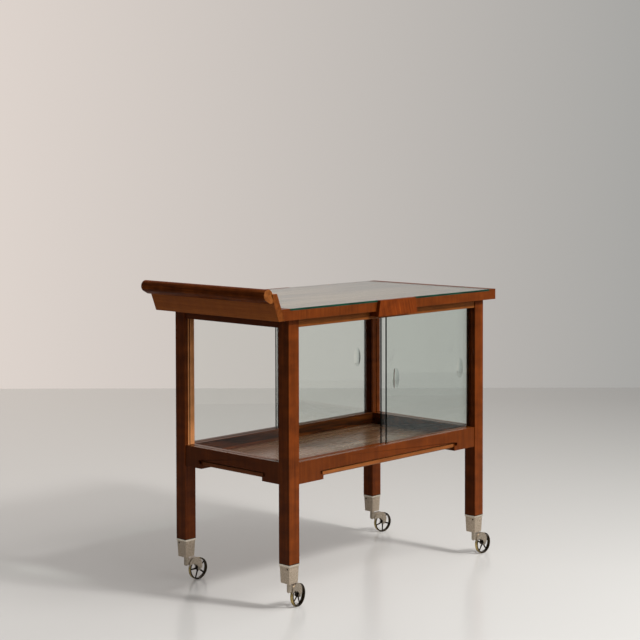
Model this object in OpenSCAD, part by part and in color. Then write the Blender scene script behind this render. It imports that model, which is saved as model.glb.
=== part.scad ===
// Bar cart: a wooden frame with a glazed top, a railed tray, glass end panes, sliding glass doors
// front and back, a sloping end board with a push rod, and four swivel casters with spoked wheels.
// X runs along the cart with the push rod at the -X end, Y runs from the front to the back,
// Z is up from the floor. The origin is on the floor under the middle of the whole cart.

/* [Frame] */
// Distance between the legs' outer faces along the cart
span_x = 764; // [620:1:960]
// Distance between the legs' outer faces across the cart
span_y = 414; // [330:1:560]
// Side of the square legs
leg_w = 36; // [34:0.5:46]
// Height of the top's underside above the floor
top_under_z = 713; // [640:1:790]
// Bevel on the long wooden edges
ease = 0.8; // [0.2:0.1:1.5]

/* [Tray] */
// Height of the tray rails' top edge above the floor
tray_top_z = 362; // [300:1:430]
// Height of the tray rails between their brackets
tray_rail_h = 32; // [24:1:44]
// Distance of the tray rails' faces behind the legs' faces
tray_setback = 2; // [0:0.5:4]
// Depth of the rails' bracket ends below the rails
bracket_drop = 22; // [18:1:30]
// Length of the brackets on the long rails
bracket_x = 87.5; // [40:1:140]
// Length of the brackets on the end rails
bracket_y = 60; // [30:1:90]
// Length of the round-ended notch at a bracket's inner top corner
notch_l = 12; // [6:0.5:20]
// Height of that notch
notch_h = 10; // [6:0.5:14]
// Depth of that notch behind the rail's face
notch_deep = 7; // [4:0.5:12]
// Thickness of the tray panel
panel_t = 14; // [8:0.5:16]
// Distance of the panel's edge behind the rails' faces
panel_setback = 3.5; // [1:0.5:8]
// Height of the groove between the panel's edge and the rails
quirk_h = 3.5; // [1:0.5:5]
// Depth of that groove behind the panel's edge
quirk_deep = 5; // [2:0.5:8]
// Bevel on the panel's lower edge
panel_bevel = 2.5; // [0.5:0.5:4]

/* [Upper rails] */
// Height of the long rails under the top
upper_rail_h = 21; // [18:0.5:30]
// Height of the end rails under the top
upper_end_h = 22.5; // [19:0.5:30]
// Distance of the upper rails' faces behind the legs' faces
upper_setback = 3; // [0:0.5:4]

/* [Top] */
// Thickness of the top board and its lippings
board_t = 23.5; // [16:0.5:30]
// Width of the solid lippings round the top board
lip_w = 20; // [12:0.5:40]
// Overhang of the top beyond the legs at the front and the back
over_y = 17.5; // [12:0.5:40]
// Overhang of the top beyond the legs at the end without the rod
over_right = 32.5; // [12:0.5:50]
// Thickness of the glass on the top
top_glass_t = 5; // [4:0.5:8]
// Width of the raised strip beside the sloping board
strip_left_w = 29; // [15:0.5:45]
// Width of the raised strip at the other end
strip_right_w = 28; // [15:0.5:45]
// Gap between the glass and the raised strips
glass_gap = 0.3; // [0.1:0.1:1]

/* [Centre blocks] */
// Width of the centre blocks at their top
block_top_w = 138; // [80:1:180]
// Width of the centre blocks at their bottom
block_bottom_w = 154; // [90:1:200]
// Distance that the blocks stand out from the lippings
block_proud = 10; // [4:0.5:16]
// Depth of the blocks below the top's underside
block_drop = 13; // [5:0.5:18]

/* [Sloping board and rod] */
// Distance of the sloping board's lower outer corner from the legs' faces
foot_out = 50; // [35:0.5:80]
// Lean of the sloping board from upright, in degrees
lean = 21; // [5:0.5:35]
// Thickness of the sloping board
slope_t = 18.5; // [14:0.5:26]
// Height of the sloping board above the glass
slope_rise = 38.5; // [25:0.5:70]
// Diameter of the push rod's round upper part
rod_d = 29.5; // [22:0.5:36]
// Depth of the cove in the board that the rod is glued into
rod_bite = 5; // [2:0.5:8]
// Height of the board's top edge above the rod's centre
rod_drop = 2.5; // [0:0.5:6]
// Radius of the rod's smaller round underside, which lies against the board
lobe_r = 8.5; // [6:0.5:11]
// Distance of that round's centre towards the board from the rod's centre
lobe_in = 9; // [6:0.5:11]
// Distance of that round's centre below the rod's centre
lobe_below = 12; // [8:0.5:15]
// Depth of the shallow hollows where the flats between the two rounds meet them
flat_in = 0.4; // [0.2:0.1:1]

/* [Doors and panes] */
// Thickness of the doors and end panes
pane_t = 5; // [4:0.5:5.5]
// Play of the glass across its grooves
pane_play = 0.3; // [0.1:0.05:0.5]
// Distance of the outer track's centre behind the legs' outer faces
track_inset = 18.5; // [16:0.5:20]
// Distance between the centres of the two tracks
track_pitch = 8; // [7:0.5:9]
// Depth of the tracks in the tray rails
track_low = 5; // [3:0.5:8]
// Depth of the tracks in the upper rails
track_high = 8; // [6:0.5:12]
// Depth of the grooves in the legs that take the doors' edges
leg_groove = 8; // [4:0.5:10]
// Distance that the closed doors lap each other
door_lap = 9; // [4:1:30]
// Room between a door's edge and the bottom of a leg's groove
door_stop_gap = 1; // [0.5:0.25:3]
// Room under the doors in the lower tracks
door_seat_gap = 0.3; // [0.1:0.1:1]
// Room over the doors in the upper tracks
door_head_gap = 1.5; // [0.5:0.25:3]
// Distance of the end panes' centre behind the legs' end faces
pane_inset = 18; // [12:0.5:22]
// Distance that the end panes reach into the legs
pane_bite = 5.5; // [3:0.5:6]
// Room past the end panes' edges in the grooves
pane_room = 0.5; // [0.2:0.1:1]
// Distance of the open front left door from its right stop
back_off_front_left = 0; // [0:0.5:200]
// Distance of the front right door from its right stop
back_off_front_right = 11; // [0:0.5:200]
// Distance of the open back left door from its right stop
back_off_back_left = 26.5; // [0:0.5:200]
// Distance of the back right door from its right stop
back_off_back_right = 26.5; // [0:0.5:200]

/* [Finger pulls] */
// Width of the ground finger pulls
pull_w = 27; // [14:1:40]
// Height of the ground finger pulls
pull_h = 56; // [30:1:80]
// Depth of the finger pulls in the glass
pull_deep = 1.8; // [0.8:0.1:2.5]
// Distance of the pulls' centre from the door's outer edge
pull_inset = 36; // [24:1:60]

/* [Ferrules] */
// Height of the ferrules on the legs' feet
ferrule_h = 47; // [35:0.5:60]
// Side of the ferrule's lip at its top
ferrule_lip_w = 35.4; // [33:0.2:38]
// Height of the ferrule's lip
ferrule_lip_h = 5; // [3:0.5:8]
// Side of the ferrule under its lip
ferrule_top_w = 33; // [31:0.5:36]
// Side of the ferrule at its bottom
ferrule_foot_w = 29.5; // [29:0.5:34]
// Thickness of the ferrule's floor
ferrule_floor = 6; // [4:0.5:9]
// Side of the leg's square end inside the ferrule
tenon_w = 26; // [20:0.5:26.5]
// Play of the leg's end in the ferrule
tenon_play = 0.15; // [0.05:0.05:0.4]

/* [Casters] */
// Diameter of the wheels
wheel_d = 57; // [44:0.5:75]
// Width of the wheels
wheel_w = 9; // [6:0.5:12]
// Distance of the wheel's axle from the swivel's axis
trail = 38.5; // [32:0.5:46]
// Thickness of the wheel's rim
rim_t = 3.2; // [2:0.2:5]
// Bevel on the rim's edges
rim_bevel = 0.8; // [0.2:0.1:1.2]
// Radius of the wheel's hub
wheel_hub_r = 5.5; // [4.5:0.5:8]
// Number of spokes
spokes = 5; // [3:1:8]
// Width of a spoke at the hub
spoke_root_w = 4.4; // [3:0.2:5.4]
// Width of a spoke at the rim
spoke_tip_w = 3; // [2:0.2:5]
// Thickness of the spokes
spoke_t = 3.6; // [2:0.2:5.5]
// Radius of the axle
axle_r = 2.5; // [1.5:0.25:3.5]
// Running clearance of the axle and the king pin
run_fit = 0.05; // [0.01:0.01:0.1]
// Radius of the axle's heads
axle_head_r = 3.6; // [3.6:0.2:4.6]
// Thickness of the axle's heads
axle_head_t = 1; // [0.5:0.1:2]
// Room between the wheel and the fork's cheeks
cheek_gap = 0.6; // [0.3:0.1:1.5]
// Thickness of the fork's cheeks
cheek_t = 2.2; // [1.5:0.1:4]
// Room between the wheel and the fork's hood
hood_gap = 1.2; // [0.6:0.1:3]
// Thickness of the fork's hood over the wheel
hood_t = 2.3; // [1.5:0.1:4]
// Radius of the outer curve of the fork's horn
horn_r = 22; // [20:0.5:24]
// Radius of the inner curve of the fork's horn
horn_inner_r = 20; // [18:0.5:21]
// Radius of the cheeks' round ends at the axle
cheek_end_r = 5; // [4.8:0.2:6.5]
// Radius of the fork's swivel hub
hub_r = 6; // [5:0.5:8]
// Distance of the hub's lower end below the fork's top
hub_below = 17.5; // [14:0.5:20]
// Bevel on the hub's lower edge
hub_bevel = 1.5; // [0.5:0.5:3]
// Width of the neck between the hub and the cheeks
neck_w = 11; // [8:0.5:11.5]
// Height from the fork's top to the ferrule
swivel_room = 7; // [4:0.5:12]
// Play between the hub and the ferrule
swivel_play = 0.4; // [0.2:0.1:1]
// Radius of the king pin
king_r = 3.5; // [2.5:0.25:4.5]
// Radius of the king pin's head over the ferrule's floor
king_head_r = 5; // [4.6:0.2:6]
// Thickness of the king pin's head
king_head_t = 2; // [1:0.5:4]
// Swivel angle of the front left caster
swivel_front_left = 12; // [-180:1:180]
// Swivel angle of the front right caster
swivel_front_right = -2; // [-180:1:180]
// Swivel angle of the back left caster
swivel_back_left = -3; // [-180:1:180]
// Swivel angle of the back right caster
swivel_back_right = -11; // [-180:1:180]

/* [Hidden] */
$fn = 32;
// Sides of the small bores and pins, and of the finger pulls' shallow curves
pin_fn = 24;
pull_fn = 96;
pull_side_fn = 240;
// Height of the wheel's axle, the fork's top and the ferrule above the floor
wheel_r = wheel_d / 2;
fork_top_z = wheel_d + hood_gap + hood_t;
ferrule_z = fork_top_z + swivel_room;
leg_foot_z = ferrule_z + ferrule_h;
tenon_z = ferrule_z + ferrule_floor;
// The legs' outer and inner faces from the middle of the legs
face_x = span_x / 2;
face_y = span_y / 2;
in_x = face_x - leg_w;
in_y = face_y - leg_w;
// Heights of the tray, the upper rails and the top
rail_low_z = tray_top_z - tray_rail_h;
bracket_z = rail_low_z - bracket_drop;
upper_low_z = top_under_z - upper_rail_h;
upper_end_z = top_under_z - upper_end_h;
board_top_z = top_under_z + board_t;
glass_top_z = board_top_z + top_glass_t;
// The top's edges from the middle of the legs
top_y = face_y + over_y;
top_right_x = face_x + over_right;
foot_x = -face_x - foot_out;
slope_run = slope_t / cos(lean);
slope_top_z = glass_top_z + slope_rise;
strip_left_x = slope_x(glass_top_z) + slope_run + strip_left_w;
strip_right_x = top_right_x - strip_right_w;
// The push rod's centre
rod_r = rod_d / 2;
rod_z = slope_top_z - rod_drop;
rod_x = slope_x(rod_z) - (rod_r - rod_bite) / cos(lean);
// Doors: the opening between the legs' grooves, and the doors' size
groove_x = in_x + leg_groove;
stop_x = groove_x - door_stop_gap;
door_w = stop_x + door_lap / 2;
door_low_z = tray_top_z - track_low + door_seat_gap;
door_high_z = upper_low_z + track_high - door_head_gap;
track_w = pane_t + 2 * pane_play;
track_out_y = face_y - track_inset;
track_in_y = track_out_y - track_pitch;
// End panes
pane_x = face_x - pane_inset;
pane_low_z = tray_top_z - track_low;
pane_high_z = upper_end_z + pane_bite;
pane_groove = pane_bite + pane_room;
// Finger pull: a barrel whose side cuts the glass in an oval
pull_mid_r = (pull_w * pull_w / 4 + pull_deep * pull_deep) / (2 * pull_deep);
pull_side_r = (pull_h * pull_h / 4 + pull_deep * pull_deep) / (2 * pull_deep);
// Casters
swivel_x = face_x - leg_w / 2;
swivel_y = face_y - leg_w / 2;
rim_in_r = wheel_r - rim_t;
fork_half = wheel_w / 2 + cheek_gap + cheek_t;
cheek_in = wheel_w / 2 + cheek_gap;
hood_r = wheel_r + hood_gap;
horn_x = trail - 12.5;
horn_z = fork_top_z - horn_r;
horn_in_x = trail - 21.5;
horn_in_z = fork_top_z - hub_below + 0.5 - horn_inner_r;
hub_low_z = fork_top_z - hub_below;
hub_top_z = ferrule_z - swivel_play;
socket_r = king_head_r + 1.2;
king_head_z = tenon_z + swivel_play;
socket_top_z = king_head_z + king_head_t + 4;
// Whole length, from which the origin is set under the middle of the cart
low_x = rod_x - rod_r;
high_x = max(top_right_x, swivel_x + reach_x(swivel_front_right), swivel_x + reach_x(swivel_back_right));
mid_x = (low_x + high_x) / 2;

// Outer face of the sloping board at height z
function slope_x(z) = foot_x - (z - top_under_z) * tan(lean);
// Reach of a caster along X at a swivel angle
function reach_x(a) = trail * cos(a) + wheel_r * abs(cos(a)) + wheel_w / 2 * abs(sin(a));

// A bar with bevelled long edges, between two corners, along z
module bar_z(p, q) {
    translate([p[0], p[1], p[2]])
        linear_extrude(q[2] - p[2])
            bar_section(q[0] - p[0], q[1] - p[1]);
}

// The same along x
module bar_x(p, q) {
    translate([p[0], p[1], p[2]])
        rotate([90, 0, 90])
            linear_extrude(q[0] - p[0])
                bar_section(q[1] - p[1], q[2] - p[2]);
}

// The same along y
module bar_y(p, q) {
    translate([p[0], q[1], p[2]])
        rotate([90, 0, 0])
            linear_extrude(q[1] - p[1])
                bar_section(q[0] - p[0], q[2] - p[2]);
}

module bar_section(w, h) {
    polygon([
        [ease, 0], [w - ease, 0], [w, ease], [w, h - ease],
        [w - ease, h], [ease, h], [0, h - ease], [0, ease]
    ]);
}

// A plain block between two corners
module block(p, q) {
    translate(p)
        cube(q - p);
}

// An outline in x and z, drawn out from y0 to y1
module plate_y(points, y0, y1) {
    translate([0, y1, 0])
        rotate([90, 0, 0])
            linear_extrude(y1 - y0)
                polygon(points);
}

// Places what is modelled at the front left, or at its mirror places
module place(right, back) {
    translate([-mid_x, 0, 0])
        mirror([right ? 1 : 0, 0, 0])
            mirror([0, back ? 1 : 0, 0])
                children();
}

// One leg at the front left: square, with its end cut down for the ferrule, and grooved for the glass
module leg() {
    difference() {
        union() {
            bar_z([-face_x, -face_y, leg_foot_z], [-in_x, -in_y, top_under_z]);
            translate([-swivel_x - tenon_w / 2, -swivel_y - tenon_w / 2, tenon_z])
                cube([tenon_w, tenon_w, leg_foot_z - tenon_z + 1]);
        }
        for (y = [track_out_y, track_in_y])
            block([-groove_x, -y - track_w / 2, tray_top_z - track_low], [-in_x + 1, -y + track_w / 2, upper_low_z + track_high]);
        block(
            [-pane_x - pane_t / 2 - pane_play, -in_y - pane_groove, pane_low_z],
            [-pane_x + pane_t / 2 + pane_play, -in_y + 1, pane_high_z + pane_room]
        );
        translate([-swivel_x, -swivel_y, tenon_z - 1])
            cylinder(r = socket_r, h = socket_top_z - tenon_z + 1);
    }
}

// One ferrule at the front left: a tapered square cup with a lip, bored for the king pin
module ferrule() {
    translate([-swivel_x, -swivel_y, ferrule_z])
        difference() {
            union() {
                intersection() {
                    ferrule_taper();
                    rotate([0, 0, 90])
                        ferrule_taper();
                }
                translate([-ferrule_lip_w / 2, -ferrule_lip_w / 2, ferrule_h - ferrule_lip_h])
                    cube([ferrule_lip_w, ferrule_lip_w, ferrule_lip_h]);
            }
            translate([-tenon_w / 2 - tenon_play, -tenon_w / 2 - tenon_play, ferrule_floor])
                cube([tenon_w + 2 * tenon_play, tenon_w + 2 * tenon_play, ferrule_h]);
            translate([0, 0, -1])
                cylinder(r = king_r + run_fit, h = ferrule_floor + 2, $fn = pin_fn);
        }
}

module ferrule_taper() {
    plate_y(
        [
            [-ferrule_foot_w / 2, 0], [ferrule_foot_w / 2, 0],
            [ferrule_top_w / 2, ferrule_h - ferrule_lip_h], [-ferrule_top_w / 2, ferrule_h - ferrule_lip_h]
        ],
        -leg_w, leg_w
    );
}

// The long tray rail at the front: bracket ends, and a double track for the doors in its top
module tray_rail_long() {
    y0 = -face_y + tray_setback;
    difference() {
        union() {
            bar_x([-in_x, y0, rail_low_z], [in_x, -in_y, tray_top_z]);
            for (s = [-1, 1])
                bracket_x_end(s, y0);
        }
        for (y = [track_out_y, track_in_y])
            block([-in_x - 1, -y - track_w / 2, tray_top_z - track_low], [in_x + 1, -y + track_w / 2, tray_top_z + 1]);
    }
}

module bracket_x_end(s, y0) {
    x0 = s < 0 ? -in_x : in_x - bracket_x;
    difference() {
        block([x0, y0, bracket_z], [x0 + bracket_x, -in_y, rail_low_z + ease]);
        translate([s < 0 ? x0 + bracket_x : x0, y0 - 1, rail_low_z])
            rotate([-90, 0, 0])
                linear_extrude(notch_deep + 1)
                    notch_section(s);
    }
}

// The notch's outline from the bracket's corner: a slot with a round end, drawn with y downwards
module notch_section(s) {
    translate([s * (notch_l - notch_h / 2), notch_h / 2])
        circle(r = notch_h / 2);
    translate([s < 0 ? -notch_l + notch_h / 2 : -1, 0])
        square([notch_l - notch_h / 2 + 1, notch_h]);
}

// The short tray rail at the left end: bracket ends, and a groove for the end pane
module tray_rail_short() {
    x0 = -face_x + tray_setback;
    difference() {
        union() {
            bar_y([x0, -in_y, rail_low_z], [-in_x, in_y, tray_top_z]);
            for (s = [-1, 1])
                bracket_y_end(s, x0);
        }
        block(
            [-pane_x - pane_t / 2 - pane_play, -in_y - 1, pane_low_z],
            [-pane_x + pane_t / 2 + pane_play, in_y + 1, tray_top_z + 1]
        );
    }
}

module bracket_y_end(s, x0) {
    y0 = s < 0 ? -in_y : in_y - bracket_y;
    difference() {
        block([x0, y0, bracket_z], [-in_x, y0 + bracket_y, rail_low_z + ease]);
        translate([x0 + notch_deep, s < 0 ? y0 + bracket_y : y0, rail_low_z])
            rotate([-90, 0, 90])
                linear_extrude(notch_deep + 1)
                    notch_section(s);
    }
}

// The tray panel under the rails, notched round the legs and the brackets
module panel() {
    px = face_x - tray_setback - panel_setback;
    py = face_y - tray_setback - panel_setback;
    difference() {
        intersection() {
            plate_y(panel_outline(px), -py, py);
            rotate([0, 0, 90])
                plate_y(panel_outline(py), -px, px);
        }
        for (sx = [-1, 1], sy = [-1, 1])
            scale_signs(sx, sy) {
                block([in_x - bracket_x - pane_play, in_y - pane_play, bracket_z - 1], [face_x + 1, face_y + 1, rail_low_z + 1]);
                block([in_x - pane_play, in_y - bracket_y - pane_play, bracket_z - 1], [face_x + 1, face_y + 1, rail_low_z + 1]);
            }
    }
}

// The panel's outline over half a width: bevelled below, with a groove under the rails
function panel_outline(w) = [
    [-w + panel_bevel, rail_low_z - panel_t], [w - panel_bevel, rail_low_z - panel_t],
    [w, rail_low_z - panel_t + panel_bevel], [w, rail_low_z - quirk_h],
    [w - quirk_deep, rail_low_z - quirk_h], [w - quirk_deep, rail_low_z],
    [-w + quirk_deep, rail_low_z], [-w + quirk_deep, rail_low_z - quirk_h],
    [-w, rail_low_z - quirk_h], [-w, rail_low_z - panel_t + panel_bevel]
];

module scale_signs(sx, sy) {
    mirror([sx < 0 ? 1 : 0, 0, 0])
        mirror([0, sy < 0 ? 1 : 0, 0])
            children();
}

// The long rail under the top at the front, with the doors' upper tracks
module upper_rail_long() {
    difference() {
        bar_x([-in_x, -face_y + upper_setback, upper_low_z], [in_x, -in_y, top_under_z]);
        for (y = [track_out_y, track_in_y])
            block([-in_x - 1, -y - track_w / 2, upper_low_z - 1], [in_x + 1, -y + track_w / 2, upper_low_z + track_high]);
    }
}

// The short rail under the top at the left end, with the pane's groove
module upper_rail_short() {
    difference() {
        bar_y([-face_x + upper_setback, -in_y, upper_end_z], [-in_x, in_y, top_under_z]);
        block(
            [-pane_x - pane_t / 2 - pane_play, -in_y - 1, upper_end_z - 1],
            [-pane_x + pane_t / 2 + pane_play, in_y + 1, pane_high_z + pane_room]
        );
    }
}

// An outline of the top between two heights, from the sloping board to x1
function top_outline(z0, z1, x1) = [
    [slope_x(z0) + slope_run, z0], [x1, z0], [x1, z1], [slope_x(z1) + slope_run, z1]
];

// The centre block at the front: a plate with sloping sides, with a foot under the top
module centre_block() {
    mid = (foot_x + top_right_x) / 2;
    z0 = top_under_z - block_drop;
    plate_y(
        [
            [mid - block_bottom_w / 2, z0], [mid + block_bottom_w / 2, z0],
            [mid + block_top_w / 2, glass_top_z], [mid - block_top_w / 2, glass_top_z]
        ],
        -top_y - block_proud, -top_y
    );
    foot_w = block_bottom_w - (block_bottom_w - block_top_w) * block_drop / (glass_top_z - z0);
    plate_y(
        [
            [mid - block_bottom_w / 2, z0], [mid + block_bottom_w / 2, z0],
            [mid + foot_w / 2, top_under_z], [mid - foot_w / 2, top_under_z]
        ],
        -top_y - 1, -face_y + upper_setback
    );
}

// A sliding door with its left edge at x, centred on y, with its pull near one edge on the outer face
module door(x, y, pull_x, out) {
    translate([-mid_x, 0, 0])
        difference() {
            block([x, y - pane_t / 2, door_low_z], [x + door_w, y + pane_t / 2, door_high_z]);
            translate([x + pull_x, y + out * (pane_t / 2 + pull_mid_r - pull_deep), (door_low_z + door_high_z) / 2])
                rotate_extrude($fn = pull_fn)
                    intersection() {
                        translate([pull_mid_r - pull_side_r, 0])
                            circle(r = pull_side_r, $fn = pull_side_fn);
                        translate([0, -pull_h / 2 - 2])
                            square([pull_mid_r + 2, pull_h + 4]);
                    }
        }
}

// An end pane in its grooves
module end_pane() {
    block([-pane_x - pane_t / 2, -in_y - pane_bite, pane_low_z], [-pane_x + pane_t / 2, in_y + pane_bite, pane_high_z]);
}

// Places a caster piece, drawn with its swivel on the z axis and its wheel towards +x
module caster(sx, sy, angle) {
    translate([sx * swivel_x - mid_x, sy * swivel_y, 0])
        rotate([0, 0, angle])
            children();
}

// A cylinder across the wheel, centred on y = 0
module across(x, z, r, half) {
    translate([x, half, z])
        rotate([90, 0, 0])
            cylinder(r = r, h = 2 * half);
}

// The fork: a swivel hub, a neck, and a horn on each side that curls over the wheel to its axle
module fork() {
    difference() {
        union() {
            translate([0, 0, hub_low_z + hub_bevel])
                cylinder(r = hub_r, h = hub_top_z - hub_low_z - hub_bevel);
            translate([0, 0, hub_low_z])
                cylinder(r1 = hub_r - hub_bevel, r2 = hub_r, h = hub_bevel);
            difference() {
                block([0, -neck_w / 2, hub_low_z + 0.5], [horn_x, neck_w / 2, fork_top_z - 0.8]);
                across(trail, wheel_r, hood_r, fork_half);
                across(horn_in_x, horn_in_z, horn_inner_r, fork_half);
            }
            // The hood between the cheeks
            intersection() {
                difference() {
                    across(horn_x, horn_z, horn_r, cheek_in + 0.5);
                    across(trail, wheel_r, hood_r, fork_half);
                }
                block([0, -fork_half, hub_low_z + 0.5], [trail, fork_half, fork_top_z + 1]);
            }
            for (s = [-1, 1])
                cheek(s);
        }
        across(trail, wheel_r, axle_r, fork_half + 1, $fn = pin_fn);
        translate([0, 0, hub_low_z + 4])
            cylinder(r = king_r, h = ferrule_h, $fn = pin_fn);
    }
}

// One cheek: the outer disc less the inner one, down to a round end at the axle
module cheek(s) {
    y0 = s < 0 ? -fork_half : cheek_in;
    intersection() {
        union() {
            difference() {
                across(horn_x, horn_z, horn_r, fork_half);
                across(horn_in_x, horn_in_z, horn_inner_r, fork_half + 1);
                block([-wheel_d, -fork_half - 1, -1], [trail + wheel_d, fork_half + 1, wheel_r]);
            }
            across(trail, wheel_r, cheek_end_r, fork_half);
        }
        block([0, y0, 0], [trail + wheel_d, y0 + cheek_t, fork_top_z + 1]);
    }
}

// The king pin: held in the hub, free in the ferrule, with a head over the ferrule's floor
module king_pin() {
    translate([0, 0, hub_low_z + 4])
        cylinder(r = king_r, h = king_head_z - hub_low_z - 4, $fn = pin_fn);
    translate([0, 0, king_head_z])
        cylinder(r = king_head_r, h = king_head_t, $fn = pin_fn);
}

// The axle with a flat head on each side of the fork
module axle() {
    across(trail, wheel_r, axle_r, fork_half, $fn = pin_fn);
    for (s = [-1, 1])
        translate([trail, s < 0 ? -fork_half : fork_half + axle_head_t, wheel_r])
            rotate([90, 0, 0])
                cylinder(r = axle_head_r, h = axle_head_t, $fn = pin_fn);
}

// The wheel's rim, bevelled at its edges
module rim() {
    w = wheel_w / 2;
    translate([trail, 0, wheel_r])
        rotate([90, 0, 0])
            rotate_extrude($fn = 48)
                polygon([
                    [rim_in_r, -w], [wheel_r - rim_bevel, -w], [wheel_r, -w + rim_bevel],
                    [wheel_r, w - rim_bevel], [wheel_r - rim_bevel, w], [rim_in_r, w]
                ]);
}

// The wheel's hub and spokes, turned by an angle
module spider(turn) {
    // A spoke's flat end meets the rim at its two corners
    spoke_end = sqrt(rim_in_r * rim_in_r - spoke_tip_w * spoke_tip_w / 4);
    translate([trail, 0, wheel_r])
        rotate([90, 0, 0])
            difference() {
                union() {
                    cylinder(r = wheel_hub_r, h = wheel_w, center = true);
                    for (i = [0 : spokes - 1])
                        rotate([0, 0, turn + i * 360 / spokes])
                            translate([0, 0, -spoke_t / 2])
                                linear_extrude(spoke_t)
                                    polygon([
                                        [wheel_hub_r - 1.5, -spoke_root_w / 2], [spoke_end, -spoke_tip_w / 2],
                                        [spoke_end, spoke_tip_w / 2], [wheel_hub_r - 1.5, spoke_root_w / 2]
                                    ]);
                }
                cylinder(r = axle_r + run_fit, h = wheel_w + 2, center = true, $fn = pin_fn);
            }
}

module leg_front_left() { color("#74391b") place(false, false) leg(); }
module leg_front_right() { color("#74391b") place(true, false) leg(); }
module leg_back_left() { color("#74391b") place(false, true) leg(); }
module leg_back_right() { color("#74391b") place(true, true) leg(); }
module ferrule_front_left() { color("#a49382") place(false, false) ferrule(); }
module ferrule_front_right() { color("#a49382") place(true, false) ferrule(); }
module ferrule_back_left() { color("#a49382") place(false, true) ferrule(); }
module ferrule_back_right() { color("#a49382") place(true, true) ferrule(); }
module tray_rail_front() { color("#7c3d18") place(false, false) tray_rail_long(); }
module tray_rail_back() { color("#7c3d18") place(false, true) tray_rail_long(); }
module tray_rail_left() { color("#7c3d18") place(false, false) tray_rail_short(); }
module tray_rail_right() { color("#7c3d18") place(true, false) tray_rail_short(); }
module tray_panel() { color("#8a4a26") place(false, false) panel(); }
module upper_rail_front() { color("#7c3d18") place(false, false) upper_rail_long(); }
module upper_rail_back() { color("#7c3d18") place(false, true) upper_rail_long(); }
module upper_rail_left() { color("#7c3d18") place(false, false) upper_rail_short(); }
module upper_rail_right() { color("#7c3d18") place(true, false) upper_rail_short(); }

// The veneered board between the lippings
module top_board() {
    color("#9a6a4a")
        translate([-mid_x, 0, 0])
            plate_y(top_outline(top_under_z, board_top_z, top_right_x - lip_w), -top_y + lip_w, top_y - lip_w);
}

module lipping_front() {
    color("#7c3d18")
        translate([-mid_x, 0, 0])
            plate_y(top_outline(top_under_z, board_top_z, top_right_x), -top_y, -top_y + lip_w);
}

module lipping_back() {
    color("#7c3d18")
        translate([-mid_x, 0, 0])
            plate_y(top_outline(top_under_z, board_top_z, top_right_x), top_y - lip_w, top_y);
}

module lipping_right() {
    color("#7c3d18")
        translate([-mid_x, 0, 0])
            block([top_right_x - lip_w, -top_y + lip_w, top_under_z], [top_right_x, top_y - lip_w, board_top_z]);
}

module end_strip_left() {
    color("#7c3d18")
        translate([-mid_x, 0, 0])
            plate_y(top_outline(board_top_z, glass_top_z, strip_left_x), -top_y, top_y);
}

module end_strip_right() {
    color("#7c3d18")
        translate([-mid_x, 0, 0])
            block([strip_right_x, -top_y, board_top_z], [top_right_x, top_y, glass_top_z]);
}

module top_glass() {
    color("#9fb5ad", 0.4)
        translate([-mid_x, 0, 0])
            block([strip_left_x + glass_gap, -top_y, board_top_z], [strip_right_x - glass_gap, top_y, glass_top_z]);
}

// The board that leans outwards, coved along its outer top edge for the rod
module sloping_board() {
    color("#532f1a")
        translate([-mid_x, 0, 0])
            difference() {
                plate_y(
                    [
                        [slope_x(top_under_z), top_under_z], [slope_x(top_under_z) + slope_run, top_under_z],
                        [slope_x(slope_top_z) + slope_run, slope_top_z], [slope_x(slope_top_z), slope_top_z]
                    ],
                    -top_y, top_y
                );
                rod_bar(top_y + 1);
            }
}

// The rod's section drawn out along y to both sides
module rod_bar(half) {
    translate([rod_x, half, rod_z])
        rotate([90, 0, 0])
            linear_extrude(2 * half)
                rod_section();
}

// A round with a smaller round on its underside towards the board, joined by flats
module rod_section() {
    lobe = [lobe_in, -lobe_below];
    turn = atan2(-lobe_below, lobe_in);
    half = acos((rod_r - lobe_r) / norm(lobe));
    out = [cos(turn - half), sin(turn - half)];
    in = [cos(turn + half), sin(turn + half)];
    circle(r = rod_r, $fn = 64);
    translate(lobe)
        circle(r = lobe_r);
    polygon([
        [0, 0], (rod_r - flat_in) * out, lobe + (lobe_r - flat_in) * out,
        lobe, lobe + (lobe_r - flat_in) * in, (rod_r - flat_in) * in
    ]);
}

module push_rod() {
    color("#5a2c12")
        translate([-mid_x, 0, 0])
            rod_bar(top_y);
}

module block_front() { color("#813d16") place(false, false) centre_block(); }
module block_back() { color("#813d16") place(false, true) centre_block(); }
module end_pane_left() { color("#bcc9c4", 0.35) place(false, false) end_pane(); }
module end_pane_right() { color("#bcc9c4", 0.35) place(true, false) end_pane(); }

module door_front_left() {
    color("#a9bdb5", 0.4)
        door(stop_x - door_w - back_off_front_left, -track_out_y, pull_inset, -1);
}

module door_front_right() {
    color("#a9bdb5", 0.4)
        door(stop_x - door_w - back_off_front_right, -track_in_y, door_w - pull_inset, -1);
}

module door_back_left() {
    color("#a9bdb5", 0.4)
        door(stop_x - door_w - back_off_back_left, track_out_y, pull_inset, 1);
}

module door_back_right() {
    color("#a9bdb5", 0.4)
        door(stop_x - door_w - back_off_back_right, track_in_y, door_w - pull_inset, 1);
}

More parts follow.
